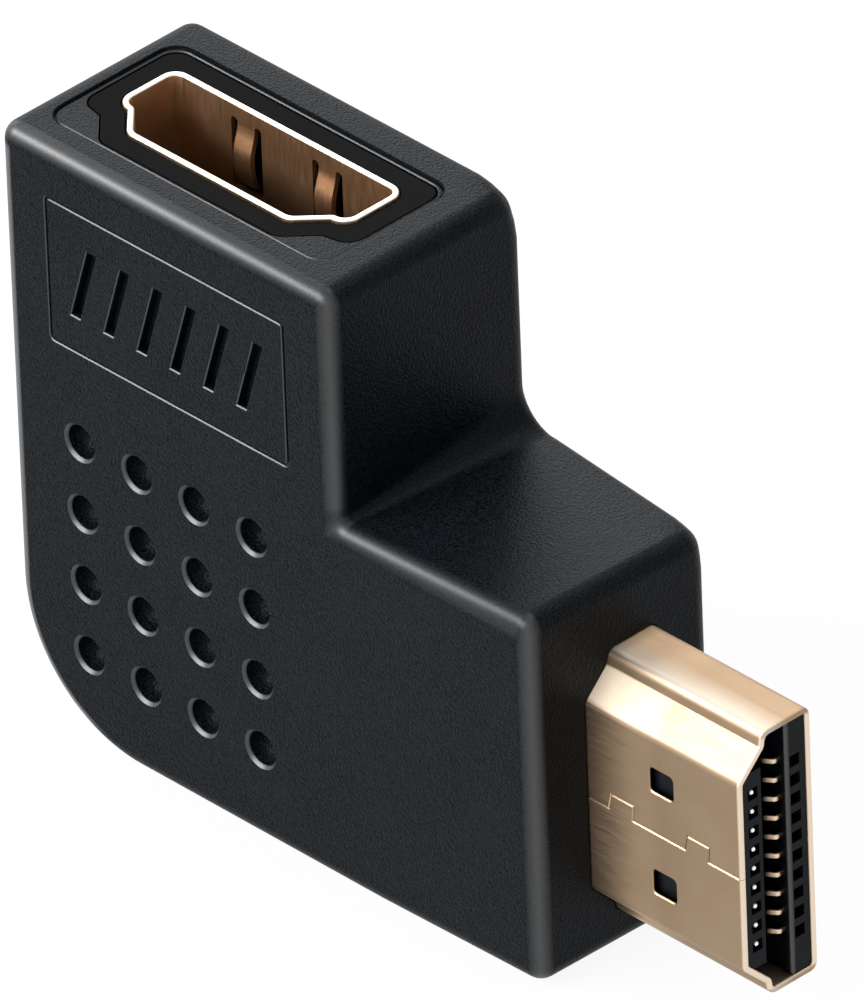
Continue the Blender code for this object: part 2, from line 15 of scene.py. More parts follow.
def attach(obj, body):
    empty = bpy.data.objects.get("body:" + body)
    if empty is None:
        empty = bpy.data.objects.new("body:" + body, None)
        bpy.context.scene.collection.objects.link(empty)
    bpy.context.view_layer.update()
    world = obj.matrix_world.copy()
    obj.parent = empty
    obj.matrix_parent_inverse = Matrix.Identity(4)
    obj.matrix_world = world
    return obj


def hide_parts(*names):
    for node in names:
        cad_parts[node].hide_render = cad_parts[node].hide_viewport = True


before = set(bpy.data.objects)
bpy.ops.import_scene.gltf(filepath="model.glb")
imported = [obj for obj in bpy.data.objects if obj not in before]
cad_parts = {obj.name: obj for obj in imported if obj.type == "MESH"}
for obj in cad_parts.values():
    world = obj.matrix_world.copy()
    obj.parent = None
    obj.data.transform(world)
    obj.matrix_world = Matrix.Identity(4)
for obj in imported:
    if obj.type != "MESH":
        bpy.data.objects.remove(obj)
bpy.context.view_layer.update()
scene = bpy.context.scene
scene.view_settings.view_transform = "Standard"

# Elbow, in millimetres: its arm thins towards the plug, and its front end rises a little
LENGTH, UPRIGHT, HEIGHT, ARM, THICKNESS = 32.9, 20.9, 31.2, 19.2, 12.0
ARM_TAPER, ARM_RISE, BASE_RISE = 1.0, 0.5, 0.25
HEEL, EDGE = 7.3, 0.9
CROOK_FRONT, CROOK_BACK = 0.3, 1.8
FOLD_LINE = UPRIGHT + CROOK_BACK
# How far a rim has to lie inside the elbow's own outline to be a hole's
INSIDE = EDGE + 0.05

# Dimples: the first one's place, their pitch and their shape
DIMPLES_X, DIMPLE_PITCH_X = 4.5, 3.63
DIMPLES_Z, DIMPLE_PITCH_Z = 4.9, 3.76
DIMPLE_ROWS = 4
DIMPLE_RADIUS, DIMPLE_FLARE, DIMPLE_DEEP = 0.84, 0.16, 1.1

# Panel: a fine frame line with slanted bars inside it
PANEL_X, PANEL_Z = UPRIGHT / 2, HEIGHT - 6.4
PANEL_WIDTH, PANEL_HEIGHT, PANEL_CORNER = 15.1, 7.6, 0.3
PANEL_LINE, PANEL_LINE_DEEP = 0.13, 0.16
BARS, BAR_PITCH, BAR_WIDTH, BAR_SLANT, HALF_BAR, BAR_DEEP = 6, 2.1, 0.6, 1.2, 1.9, 0.5

# Places of plug and socket
PLUG_REACH, PLUG_DEPTH, SOCKET_DEPTH = 9.5, 7.0, 11.5
PLUG_MIDDLE, PLUG_LEVEL, PLUG_END = THICKNESS / 2 - 0.5, ARM / 2 - 0.6, LENGTH + PLUG_REACH
SOCKET_MIDDLE, SOCKET_X = THICKNESS / 2 - 0.2, UPRIGHT / 2 - 0.45

# The outline that both share, with the radius of its folds
WIDTH, DEPTH, SIDE = 13.9, 4.45, 2.95
STEP, STEP_DROP, CHAMFER = 0.69, 0.13, 1.35
HALF, FOOT = WIDTH / 2, WIDTH / 2 - STEP - CHAMFER
FOLD, FOLD_IN_STEP, FOLD_AT_STEP = 0.45, 0.1, 0.5
SHARPEST, ROUNDEST = 0.06, 0.9

# Sheet metal, and the collar and shallow recess round the socket's mouth
SHEET, MATING, FIT = 0.3, 0.05, 0.04
RING = MATING + SHEET
END_ROOM = 0.08
COLLAR, COLLAR_DOWN, COLLAR_DEPTH = 1.2, 0.14, 3.0
RECESS, RECESS_MARGIN, RECESS_CORNER = 0.08, 0.3, 1.1
GROOVE, GROOVE_DEEP = 0.12, 0.14

# Plug's windows and its keyed seam
WINDOW_X, WINDOW_DOWN = 2.7, 4.9
WINDOW_WIDTH, WINDOW_HEIGHT, WINDOW_CORNER = 1.25, 1.45, 0.2
SEAM_GROUND, SEAM_CREST, SEAM_KEYS, SEAM_WIDTH = 0.1, -0.7, (1.25, 5.95), 0.02

# Spring fingers in the socket's walls, from its mouth down
FINGER_X, FINGER_TOP, FINGER_LONG = 2.56, 0.7, 3.7
FINGER_SLOT, FINGER_SLOT_X, FINGER_HALF = 0.42, 0.74, 0.54
FOOT_SLOT_WIDTH, FOOT_SLOT = 1.9, 0.4
BEND_TOP, BEND_REACH = 0.9, 0.34

# Blocks and contacts
PITCH, POCKET, WIDE_ROW, NARROW_ROW = 1.0, 0.6, 1.28, 1.3
NEAR_BAR, FAR_BAR, BLOCK_RECESS = 0.79, 0.74, 0.1
SLOT_DEEP, SLOT_MARGIN, CHANNEL_DOWN = 7.0, 1.15, 0.4
TONGUE_WIDTH, TONGUE_THICK, TONGUE_OFFSET, TONGUE_DOWN = 11.0, 1.15, 0.17, 2.9
GROOVE_IN_TONGUE, GROOVES_DOWN = 0.12, 3.3
CONTACT_WIDTH, CONTACT_THICK, TAIL = 0.25, 0.14, 1.8
HALF_STRIP = CONTACT_THICK / 2
BEAD, BEAD_DOWN = 0.14, 0.28
# Side, contact places across and pocket offset of the wide and the narrow row
ROWS = ((1, [(index - 4.5) * PITCH for index in range(10)], WIDE_ROW),
        (-1, [(index - 4) * PITCH for index in range(9)], NARROW_ROW))

# The board inside, and how far it reaches to each side of the plug's and the socket's middle
BOARD_Y, HALF_BOARD, HALF_BOARD_POCKET, BOARD_ROOM = THICKNESS / 2 - 0.35, 0.5, 0.85, 0.1
BOARD_AT_PLUG, BOARD_AT_SOCKET, BOARD_CUT = 6.45, 6.8, 3

# From the part's own millimetres into the frame, and the seats of plug and socket
TO_FRAME = Matrix.Scale(0.001, 4) @ Matrix.Translation((-PLUG_END / 2, -THICKNESS / 2, 0))
PLUG = (Matrix.Translation((LENGTH, PLUG_MIDDLE, PLUG_LEVEL))
        @ Matrix.Rotation(math.pi / 2, 4, "Y"))
SOCKET = Matrix.Translation((SOCKET_X, SOCKET_MIDDLE, HEIGHT))

# An outline's X and Y turned onto local X and Z
UPRIGHT_PLANE = Matrix(((1, 0, 0, 0), (0, 0, 1, 0), (0, 1, 0, 0), (0, 0, 0, 1)))
# An outline's X and Y turned onto local Y and Z, and its depth onto local X
SIDE_PLANE = Matrix(((0, 0, 1, 0), (1, 0, 0, 0), (0, 1, 0, 0), (0, 0, 0, 1)))


# Outlines
def box_corners(width, height, centre=(0.0, 0.0), radius=0.0):
    x, y = centre
    signs = ((-1, -1), (1, -1), (1, 1), (-1, 1))
    return [(x + a * width / 2, y + b * height / 2, radius) for a, b in signs]


def connector_corners(grow=0.0):
    """Corners of the connector's outline, moved outwards: narrow side at -Y, wide side at +Y."""
    top = DEPTH / 2
    right = [(FOOT, -top), (HALF - STEP, top - SIDE - STEP_DROP), (HALF, top - SIDE), (HALF, top)]
    folds = [FOLD, FOLD_IN_STEP, FOLD_AT_STEP, FOLD]
    folds += folds[::-1]
    places = [Vector(place) for place in right]
    places += [Vector((-x, y)) for x, y in reversed(right)]
    corners = []
    for index, place in enumerate(places):
        into = (place - places[index - 1]).normalized()
        out = (places[(index + 1) % len(places)] - place).normalized()
        turn = math.atan2(into.x * out.y - into.y * out.x, into.dot(out))
        outward = Vector((into.y, -into.x)) + Vector((out.y, -out.x))
        moved = place + outward * (grow / (1.0 + math.cos(turn)))
        bend = min(max(folds[index] + math.copysign(1.0, turn) * grow, SHARPEST), ROUNDEST)
        corners.append((moved.x, moved.y, bend))
    return corners


def strip_corners(path, width):
    """Corners of a strip of even width that follows a path in a plane."""
    path = [Vector(point) for point in path]
    left, right = [], []
    for index, point in enumerate(path):
        into = (point - path[max(index - 1, 0)]).normalized()
        out = (path[min(index + 1, len(path) - 1)] - point).normalized()
        into = into if into.length else out
        out = out if out.length else into
        across = Vector((-into.y, into.x)) + Vector((-out.y, out.x))
        offset = across * (width / 2 / (1.0 + into.dot(out)))
        left.append((*(point + offset), 0.0))
        right.append((*(point - offset), 0.0))
    return right + left[::-1]


def eased(path, reach, steps=4):
    """A path whose inner corners are drawn out into short curves."""
    points = [Vector(point) for point in path]
    smooth = [points[0]]
    for before, corner, after in zip(points, points[1:], points[2:]):
        near = min(reach, (corner - before).length * 0.45, (after - corner).length * 0.45)
        start = corner + (before - corner).normalized() * near
        end = corner + (after - corner).normalized() * near
        for step in range(steps + 1):
            part = step / steps
            smooth.append(start.lerp(corner, part).lerp(corner.lerp(end, part), part))
    smooth.append(points[-1])
    return smooth


# Shaping
def face_outwards(shape):
    shape.normal_update()
    bmesh.ops.recalc_face_normals(shape, faces=shape.faces)
    return shape


def whole(shape):
    return shape.verts[:] + shape.edges[:] + shape.faces[:]


def points_of(items):
    return [item for item in items if isinstance(item, bmesh.types.BMVert)]


def round_point(shape, vert, reach, segments):
    bmesh.ops.bevel(shape, geom=[vert], offset=reach, offset_type="OFFSET", segments=segments,
                    profile=0.5, affect="VERTICES", material=-1)


def round_edges(shape, edges, radius, segments=2):
    bmesh.ops.bevel(shape, geom=edges, offset=radius, offset_type="OFFSET", segments=segments,
                    profile=0.5, affect="EDGES", clamp_overlap=False, material=-1)


def outline_face(corners, segments):
    """A face in XY from corners of x, y and radius, with every corner rounded off."""
    shape = bmesh.new()
    places = [Vector((x, y, 0.0)) for x, y, _ in corners]
    verts = [shape.verts.new(place) for place in places]
    shape.faces.new(verts)
    for index, vert in enumerate(verts):
        radius = corners[index][2]
        if radius <= 0.0:
            continue
        into = (places[index] - places[index - 1]).normalized()
        out = (places[(index + 1) % len(places)] - places[index]).normalized()
        round_point(shape, vert, radius * math.tan(into.angle(out) / 2), segments)
    return shape


def extrude(shape, step):
    grown = bmesh.ops.extrude_face_region(shape, geom=shape.faces[:])
    moved = points_of(grown["geom"])
    bmesh.ops.translate(shape, verts=moved, vec=step)
    face_outwards(shape)
    return moved


def prism(corners, low, high, segments=6):
    shape = outline_face(corners, segments)
    bmesh.ops.translate(shape, verts=shape.verts, vec=(0, 0, low))
    extrude(shape, (0, 0, high - low))
    return shape


def tube(corners, wall, low, high, segments=6):
    """A wall of even thickness inside an outline."""
    shape = outline_face(corners, segments)
    bmesh.ops.translate(shape, verts=shape.verts, vec=(0, 0, low))
    face = shape.faces[:]
    bmesh.ops.inset_region(shape, faces=face, thickness=wall, use_boundary=True,
                           use_even_offset=True)
    bmesh.ops.delete(shape, geom=face, context="FACES")
    extrude(shape, (0, 0, high - low))
    return shape


def ring_of(face):
    """A face's points by number: a flat face from its first point, a bent one as it stands."""
    ring = [vert.index for vert in face.verts]
    first = face.verts[0].co
    flat = all(abs((vert.co - first).dot(face.normal)) < 0.001 for vert in face.verts)
    start = ring.index(min(ring)) if flat else 0
    return ring[start:] + ring[:start]


def mesh_of(shape, name):
    """The shape as a mesh, its points and faces in an order that is the same at every run."""
    shape.normal_update()
    verts = sorted(shape.verts, key=lambda vert: [round(part, 5) for part in vert.co])
    for index, vert in enumerate(verts):
        vert.index = index
    rings = sorted((ring_of(face) for face in shape.faces), key=sorted)
    mesh = bpy.data.meshes.new(name)
    mesh.from_pydata([vert.co.copy() for vert in verts], [], rings)
    shape.free()
    return mesh


def joined(shapes):
    """One bmesh that holds several, none touching another."""
    together = bmesh.new()
    for shape in shapes:
        mesh = mesh_of(shape, "part")
        together.from_mesh(mesh)
        bpy.data.meshes.remove(mesh)
    return together


def placed(shape, matrix):
    shape.transform(matrix)
    return shape


def turned(shape, plane):
    return face_outwards(placed(shape, plane))


def loose_object(shape, name):
    item = bpy.data.objects.new(name, mesh_of(shape, name))
    scene.collection.objects.link(item)
    return item


def carve(shape, *cutters, operation="DIFFERENCE"):
    """The shape with every cutter taken out of it, or joined to it."""
    body = loose_object(shape, "body")
    tools = []
    for cutter in cutters:
        tool = loose_object(cutter, "tool")
        boolean = body.modifiers.new("cut", "BOOLEAN")
        boolean.operation = operation
        boolean.solver = "EXACT"
        boolean.object = tool
        tools.append(tool)
    graph = bpy.context.evaluated_depsgraph_get()
    mesh = bpy.data.meshes.new_from_object(body.evaluated_get(graph))
    result = bmesh.new()
    result.from_mesh(mesh)
    bpy.data.meshes.remove(mesh)
    for item in [body] + tools:
        mesh = item.data
        bpy.data.objects.remove(item)
        bpy.data.meshes.remove(mesh)
    bmesh.ops.remove_doubles(result, verts=result.verts, dist=0.0002)
    return result


def score(shape, axis, *levels, dist=0.0001):
    """Split every face along planes, so that no hole lies wholly within one face."""
    normal = [0.0, 0.0, 0.0]
    normal[axis] = 1.0
    for level in levels:
        bmesh.ops.bisect_plane(shape, geom=whole(shape), dist=dist,
                               plane_co=[level * part for part in normal], plane_no=normal)
    return shape


def soften(shape, corner, reach, depth):
    """Draw one corner of the body in, so that it is rounder than the edges that meet there."""
    corner = Vector(corner)
    for axis in range(3):
        normal = Vector((0, 0, 0))
        normal[axis] = 1.0
        for part in (1.0, 0.7, 0.4):
            near = [face for face in shape.faces
                    if any((vert.co - corner).length < reach for vert in face.verts)]
            around = {item for face in near for item in [face, *face.edges, *face.verts]}
            bmesh.ops.bisect_plane(shape, geom=list(around), dist=0.0001,
                                   plane_co=corner - normal * part * reach, plane_no=normal)
    inwards = -Vector((1, 1, 1)).normalized() * depth
    for vert in shape.verts:
        left = 1.0 - (vert.co - corner).length / reach
        if left > 0.0:
            vert.co += inwards * left ** 1.5


def sharp_edges(shape, degrees):
    return [edge for edge in shape.edges if edge.calc_face_angle(0.0) > math.radians(degrees)]


def rim_edges(shape, axis, level, inside=None):
    """Sharp edges that lie in one plane, such as the mouths of holes in a flat face."""
    return [
        edge
        for edge in sharp_edges(shape, 40)
        if edge.is_convex
        and all(abs(vert.co[axis] - level) < 0.002 for vert in edge.verts)
        and (inside is None or all(inside(vert.co) for vert in edge.verts))
    ]


def piece(name, shape, material, slot, *nodes):
    """A finished piece in the frame's metres, in place of the plain nodes it stands for."""
    mesh = mesh_of(shape, name)
    mesh.transform(TO_FRAME)
    mesh.materials.append(material)
    mesh.shade_smooth()
    mesh.set_sharp_from_angle(angle=math.radians(32.0))
    item = bpy.data.objects.new(name, mesh)
    scene.collection.objects.link(item)
    weighted = item.modifiers.new("even shading", "WEIGHTED_NORMAL")
    weighted.keep_sharp = True
    weighted.weight = 90
    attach(item, "root")
    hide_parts(*nodes)


# Shader maths
class Value:
    """A node's output that Python's operators work on."""

    def __init__(self, graph, socket):
        self.graph = graph
        self.socket = socket

    def math(self, operation, *others):
        return self.graph.node("ShaderNodeMath", {"operation": operation}, (self,) + others)

    def __add__(self, other):
        return self.math("ADD", other)

    __radd__ = __add__

    def __sub__(self, other):
        return self.math("SUBTRACT", other)

    def __rsub__(self, other):
        return self.graph.node("ShaderNodeMath", {"operation": "SUBTRACT"}, (other, self))

    def __mul__(self, other):
        return self.math("MULTIPLY", other)

    __rmul__ = __mul__

    def __abs__(self):
        return self.math("ABSOLUTE")

    def in_turn(self, operation, others):
        result = self
        for other in others:
            result = result.math(operation, other)
        return result

    def least(self, *others):
        return self.in_turn("MINIMUM", others)

    def most(self, *others):
        return self.in_turn("MAXIMUM", others)


class Graph:
    """A node tree, with one way to add a node of any kind."""

    def __init__(self, tree):
        self.tree = tree

    def feed(self, node, socket, value):
        entry = node.inputs[socket]
        if isinstance(value, Value):
            self.tree.links.new(value.socket, entry)
        else:
            entry.default_value = value

    def node(self, kind, settings, inputs, output=0):
        node = self.tree.nodes.new(kind)
        for name, value in settings.items():
            setattr(node, name, value)
        entries = inputs.items() if isinstance(inputs, dict) else enumerate(inputs)
        for socket, value in entries:
            self.feed(node, socket, value)
        return Value(self, node.outputs[output])

    def seen(self):
        """One where the camera looks, straight or by way of metal or glass."""
        straight, *bent = (self.node("ShaderNodeLightPath", {}, {}, f"Is {kind} Ray")
                           for kind in ("Camera", "Glossy", "Transmission"))
        return straight.most(*bent)


class Surface(Graph):
    """A material and the nodes that feed its shader."""

    def __init__(self, name, **settings):
        self.material = bpy.data.materials.new(name)
        self.material.use_nodes = True
        super().__init__(self.material.node_tree)
        self.shader = self.tree.nodes["Principled BSDF"]
        self.set(**settings)

    def set(self, **settings):
        for socket, value in settings.items():
            self.feed(self.shader, socket.replace("_", " "), value)

    def place(self):
        return self.node("ShaderNodeTexCoord", {}, {}, "Object")

    def millimetres(self):
        """The place on the part, in millimetres from its back, its front and its base."""
        moved = self.node("ShaderNodeVectorMath", {"operation": "MULTIPLY_ADD"}, (
            self.place(), (1000.0, 1000.0, 1000.0), (PLUG_END / 2, THICKNESS / 2, 0.0)))
        return [self.node("ShaderNodeSeparateXYZ", {}, (moved,), axis) for axis in range(3)]

    def ramp(self, value, start, end):
        """Nought up to the start, and one from the end on, whichever of them is greater."""
        return self.node("ShaderNodeMapRange", {}, {
            "Value": value, "From Min": start, "From Max": end, "To Min": 0.0, "To Max": 1.0})

    def noise(self, size, detail=2.0, stretch=(1.0, 1.0, 1.0), roughness=0.5):
        """Noise whose features are about this many millimetres across."""
        scale = 1000.0 / size
        vector = self.node("ShaderNodeMapping", {}, {
            "Vector": self.place(), "Scale": tuple(scale * part for part in stretch)})
        return self.node("ShaderNodeTexNoise", {}, {
            "Vector": vector, "Scale": 1.0, "Detail": detail, "Roughness": roughness}, "Fac")

    def between(self, noise, low, high):
        """From low to high as the noise goes through its usual range."""
        return self.node("ShaderNodeMapRange", {}, {
            "Value": noise, "From Min": 0.3, "From Max": 0.7, "To Min": low, "To Max": high})

    def mixed(self, mask, first, second):
        """The first colour, given way to the second where the mask is one."""
        return self.node("ShaderNodeMix", {"data_type": "RGBA"}, {
            0: mask, 6: first, 7: second}, 2)

    def bump(self, height, distance):
        """Height of 0 to 1 over this many millimetres."""
        return self.node("ShaderNodeBump", {}, {
            "Height": height, "Distance": distance / 1000.0, "Strength": 1.0}, "Normal")


def tinted(shade, *factors):
    """A shade times one factor for all its parts or one for each, as an opaque colour."""
    factors = factors * 3 if len(factors) == 1 else factors
    return (*(part * factor for part, factor in zip(shade, factors)), 1)


def grained_plastic():
    """The elbow's black overmould: spark-eroded grain, rubbed glossy along its front edges."""
    surface = Surface("grained black overmould", IOR=1.48, Specular_IOR_Level=0.062,
                      Specular_Tint=(0.80, 0.90, 1.0, 1), Coat_Roughness=0.42, Coat_IOR=1.7)
    x, y, z = surface.millimetres()

    def near_edge(distance):
        return surface.ramp(distance, 0.85, 0.3)

    front = near_edge(y)
    upright = (UPRIGHT - x).least(HEIGHT - z)
    arm = (LENGTH - x).least(ARM - z)
    inward = upright.most(arm)
    # Top edges, less and less towards the plug
    along_top = surface.ramp(inward, 0.8, 0.3) * front * surface.ramp(x, 50.0, 2.0)
    # The front edge of the upright's side and of the arm's end
    side = near_edge(abs(UPRIGHT - x)) * surface.ramp(z, ARM, ARM + 0.8)
    side = side.most(near_edge(LENGTH - x)) * front
    # Lips of the dimples, the panel line and the bars, just behind the front face
    lips = (surface.ramp(y, 0.003, 0.015) * surface.ramp(y, 0.19, 0.1)
            * surface.ramp(inward, 0.9, 1.2) * surface.ramp(z, 1.0, 1.5))
    # Groove round the recess in the top
    down = HEIGHT - z
    within = x.least(y - 0.6, UPRIGHT - x - 0.9, THICKNESS - y - 1.0)
    groove = (surface.ramp(down, RECESS + 0.005, RECESS + 0.02) * surface.ramp(down, 0.2, 0.14)
              * surface.ramp(within, 0.95, 1.05))
    grain = surface.noise(0.14, 2.0, roughness=0.6)
    fine = surface.noise(0.09, 1.0)
    cloud = surface.noise(5.0, 3.0)
    surface.set(
        Base_Color=surface.mixed(surface.ramp(fine * 0.85 + cloud * 0.15, 0.36, 0.64),
                                 (0.0002, 0.0003, 0.0006, 1), (0.0070, 0.0090, 0.0113, 1)),
        Roughness=surface.between(fine * 0.6 + cloud * 0.4, 0.31, 0.41),
        Coat_Weight=along_top.most(side, lips, groove * 0.8),
        Normal=surface.bump(grain * 0.75 + fine * 0.25, 0.058),
    )
    return surface.material


def smooth_black(name, shade, gloss, roughness, grain):
    """Smooth moulded black, with a gloss on the lip of the plug's far bar."""
    surface = Surface(name, IOR=1.48, Specular_IOR_Level=gloss, Coat_Roughness=0.3, Coat_IOR=1.7)
    x, y, _ = surface.millimetres()
    lip = (surface.ramp(abs(y - PLUG_MIDDLE - FAR_BAR), 0.24, 0.08)
           * surface.ramp(x, PLUG_END - 0.5, PLUG_END - 0.3))
    cloud = surface.noise(1.6, 3.0)
    fine = surface.noise(0.12, 2.0)
    surface.set(
        Base_Color=surface.mixed(surface.between(cloud, 0.0, 1.0), tinted(shade, 1.0),
                                 tinted(shade, 1.35)),
        Roughness=surface.between(fine, roughness - 0.05, roughness + 0.06),
        Coat_Weight=lip,
        Normal=surface.bump(fine, grain),
    )
    return surface.material


def gold_plate(name, shade, roughness, stretch, tip_highlight_reach=0.18, painted_tip_highlight=(0.82, 0.68, 0.53)):
    """Bright plating over rolled sheet, with painted highlights on the plug and the socket's rim,
    and painted shade in the plug.
    """
    surface = Surface(name, Metallic=1.0)
    x, y, z = surface.millimetres()
    deep, up = y - PLUG_MIDDLE, abs(z - PLUG_LEVEL)
    on_plug = surface.ramp(x, LENGTH, LENGTH + 0.01)
    # The plug's top and bottom walls are duller
    ends = surface.ramp(up, HALF - 0.1, HALF - 0.02) * surface.ramp(x, LENGTH, LENGTH + 0.1)
    # Painted shade within the plug, where little light gets in
    inside = (surface.ramp(abs(deep), 2.20, 2.10) * surface.ramp(up, 4.7, 4.6)
              * surface.ramp(x, PLUG_END - 0.9, PLUG_END - 1.1)
              * surface.ramp(x, LENGTH, LENGTH + 0.1))
    # Painted light, paler towards the housing, where the plating reflects the dark elbow
    root = surface.ramp(x, LENGTH + 4.5, LENGTH) * on_plug
    # Painted highlight on the slanted wall at each narrow corner, near the housing
    painted_slope_highlight = (surface.ramp(up, 4.9, 5.1) * surface.ramp(up, 6.3, 6.2) * root
             * surface.ramp(deep, -0.7, -0.85))
    # Painted highlight along the step's fold beside each slanted corner
    fold = (surface.ramp(deep, -0.72, -0.6) * surface.ramp(deep, 0.8, -0.4)
            * surface.ramp(up, 6.3, 6.5) * on_plug)
    # Painted highlights on the plug's cut end, and on the socket's rim
    tip = (surface.ramp(x, PLUG_END - tip_highlight_reach, PLUG_END - tip_highlight_reach + 0.12)
           * surface.ramp(up, 6.75, 6.55))
    painted_rim_highlight = surface.ramp(z, HEIGHT - 0.14, HEIGHT - 0.05)
    lines = surface.noise(0.09, 2.0, stretch=stretch)
    cloud = surface.noise(2.2, 3.0)
    colour = surface.mixed(surface.between(cloud, 0.0, 1.0), tinted(shade, 0.95, 0.91, 0.86),
                           tinted(shade, 1.0))
    # Each mask paints light or shade into the plating's colour
    for mask, other in ((root, tinted(shade, 2.0)), (painted_slope_highlight, (1.0, 0.88, 0.72, 1)),
                        (fold, (0.52, 0.45, 0.37, 1)), (tip, (*painted_tip_highlight, 1)),
                        (painted_rim_highlight, (0.80, 0.74, 0.62, 1)), (inside, (0.012, 0.009, 0.007, 1))):
        colour = surface.mixed(mask, colour, other)
    rolled = surface.between(lines * 0.7 + cloud * 0.3, roughness - 0.05, roughness + 0.06)
    surface.set(
        Base_Color=colour,
        Roughness=rolled + ends * 0.16 + painted_slope_highlight * 0.25,
        Normal=surface.bump(lines, 0.0025),
    )
    return surface.material


def board_mask():
    """The board's green mask, with the weave of the laminate showing through."""
    surface = Surface("green board", Roughness=0.4)
    weave = surface.noise(0.5, 2.0)
    surface.set(Base_Color=surface.mixed(surface.between(weave, 0.0, 1.0),
                                         (0.012, 0.10, 0.035, 1), (0.02, 0.16, 0.06, 1)))
    return surface.material


moulding = grained_plastic()
collar_black = smooth_black("smooth collar black", (0.0009, 0.0009, 0.0011), 0.01, 0.25, 0.003)
insulator_black = smooth_black("satin insulator black", (0.0030, 0.0040, 0.0060), 0.08, 0.36,
                               0.006)
plug_gold = gold_plate("plug gold plate", (0.345, 0.250, 0.165), 0.43, (0.06, 1.0, 1.0))
socket_gold = gold_plate("socket gold plate", (0.60, 0.38, 0.22), 0.40, (1.0, 1.0, 0.06))
# The contacts' ends and the narrow row's beads get a white painted highlight
contact_gold = gold_plate("contact gold", (0.88, 0.68, 0.50), 0.40, (1.0, 1.0, 1.0), 0.4,
                          (1.0, 1.0, 1.0))
board_green = board_mask()


# The elbow
def elbow_blank():
    """The elbow's body: an L with a turned heel, its back edge of the crook more open."""
    corners = [(0, 0, HEEL), (FOLD_LINE, 0, 0), (LENGTH, 0, 0), (LENGTH, ARM, 0),
               (UPRIGHT, ARM, 0), (UPRIGHT, HEIGHT, 0), (0, HEIGHT, 0)]
    shape = outline_face(corners, 32)
    crook = min(shape.verts, key=lambda vert: (vert.co - Vector((UPRIGHT, ARM, 0))).length)
    round_point(shape, crook, CROOK_FRONT, 12)
    turned(shape, UPRIGHT_PLANE)
    moved = extrude(shape, (0, THICKNESS, 0))
    corner = Vector((UPRIGHT, THICKNESS, ARM))
    arc = [vert for vert in moved if (vert.co - corner).length < CROOK_FRONT * 1.01]
    opened = CROOK_BACK / CROOK_FRONT
    bmesh.ops.scale(shape, verts=arc, vec=(opened, 1, opened), space=Matrix.Translation(-corner))
    fold = [vert for vert in moved if abs(vert.co.x - FOLD_LINE) < 0.01]
    bmesh.ops.connect_verts(shape, verts=fold)
    for vert in moved:
        along = max(0.0, vert.co.x - FOLD_LINE) / (LENGTH - FOLD_LINE)
        vert.co.y -= ARM_TAPER * along
    for vert in shape.verts:
        if vert.co.x > LENGTH - 0.01 and vert.co.y < 0.01:
            vert.co.z += ARM_RISE if vert.co.z > ARM / 2 else BASE_RISE
    face_outwards(shape)
    round_edges(shape, sharp_edges(shape, 50), EDGE, 8)
    soften(shape, (UPRIGHT, THICKNESS, HEIGHT), 2.5, 0.6)
    soften(shape, (LENGTH, THICKNESS - ARM_TAPER, ARM), 2.0, 0.3)
    score(shape, 0, *(DIMPLES_X + step * DIMPLE_PITCH_X for step in range(DIMPLE_ROWS)))
    score(shape, 2, *(DIMPLES_Z + step * DIMPLE_PITCH_Z for step in range(DIMPLE_ROWS)), PANEL_Z)
    return face_outwards(shape)


def dimple_tool():
    """A blind round hole with a flared mouth, turned about its axis, sixteen times over."""
    shape = bmesh.new()
    profile = [(0.0, DIMPLE_DEEP)]
    for step in range(1, 8):
        angle = math.pi / 2 * step / 7
        bowl = (DIMPLE_DEEP - DIMPLE_FLARE) * math.cos(angle)
        profile.append((DIMPLE_RADIUS * math.sin(angle), DIMPLE_FLARE + bowl))
    lip = DIMPLE_RADIUS + DIMPLE_FLARE
    profile += [(lip, 0.0), (lip + 0.02, -1.0), (0.0, -1.0)]
    verts = [shape.verts.new((across, along, 0.0)) for across, along in profile]
    edges = [shape.edges.new(pair) for pair in zip(verts, verts[1:])]
    bmesh.ops.spin(shape, geom=verts + edges, cent=(0, 0, 0), axis=(0, 1, 0), angle=math.tau,
                   steps=40, use_merge=True)
    bmesh.ops.remove_doubles(shape, verts=shape.verts, dist=0.0001)
    face_outwards(shape)
    first = whole(shape)
    for column in range(DIMPLE_ROWS):
        for row in range(DIMPLE_ROWS):
            copied = bmesh.ops.duplicate(shape, geom=first)["geom"]
            bmesh.ops.translate(shape, verts=points_of(copied), vec=(
                DIMPLES_X + DIMPLE_PITCH_X * column, 0, DIMPLES_Z + DIMPLE_PITCH_Z * row))
    bmesh.ops.delete(shape, geom=points_of(first), context="VERTS")
    return shape


def panel_tools():
    """The fine frame line and the six slanted bars inside it."""
    frame_line = box_corners(PANEL_WIDTH, PANEL_HEIGHT, (PANEL_X, PANEL_Z), PANEL_CORNER)
    line = tube(frame_line, PANEL_LINE, -PANEL_LINE_DEEP, 1.0, 4)
    bars = []
    low, high = PANEL_Z - HALF_BAR, PANEL_Z + HALF_BAR
    for index in range(BARS):
        foot = PANEL_X + (index - (BARS - 1) / 2) * BAR_PITCH - (BAR_SLANT + BAR_WIDTH) / 2
        head = foot + BAR_SLANT
        corners = [(foot, low, 0), (foot + BAR_WIDTH, low, 0), (head + BAR_WIDTH, high, 0),
                   (head, high, 0)]
        bars.append(prism(corners, -BAR_DEEP, 1.0, 1))
    flip = Matrix.Scale(-1, 4, (0, 1, 0))
    return [turned(shape, flip @ UPRIGHT_PLANE) for shape in (line, joined(bars))]


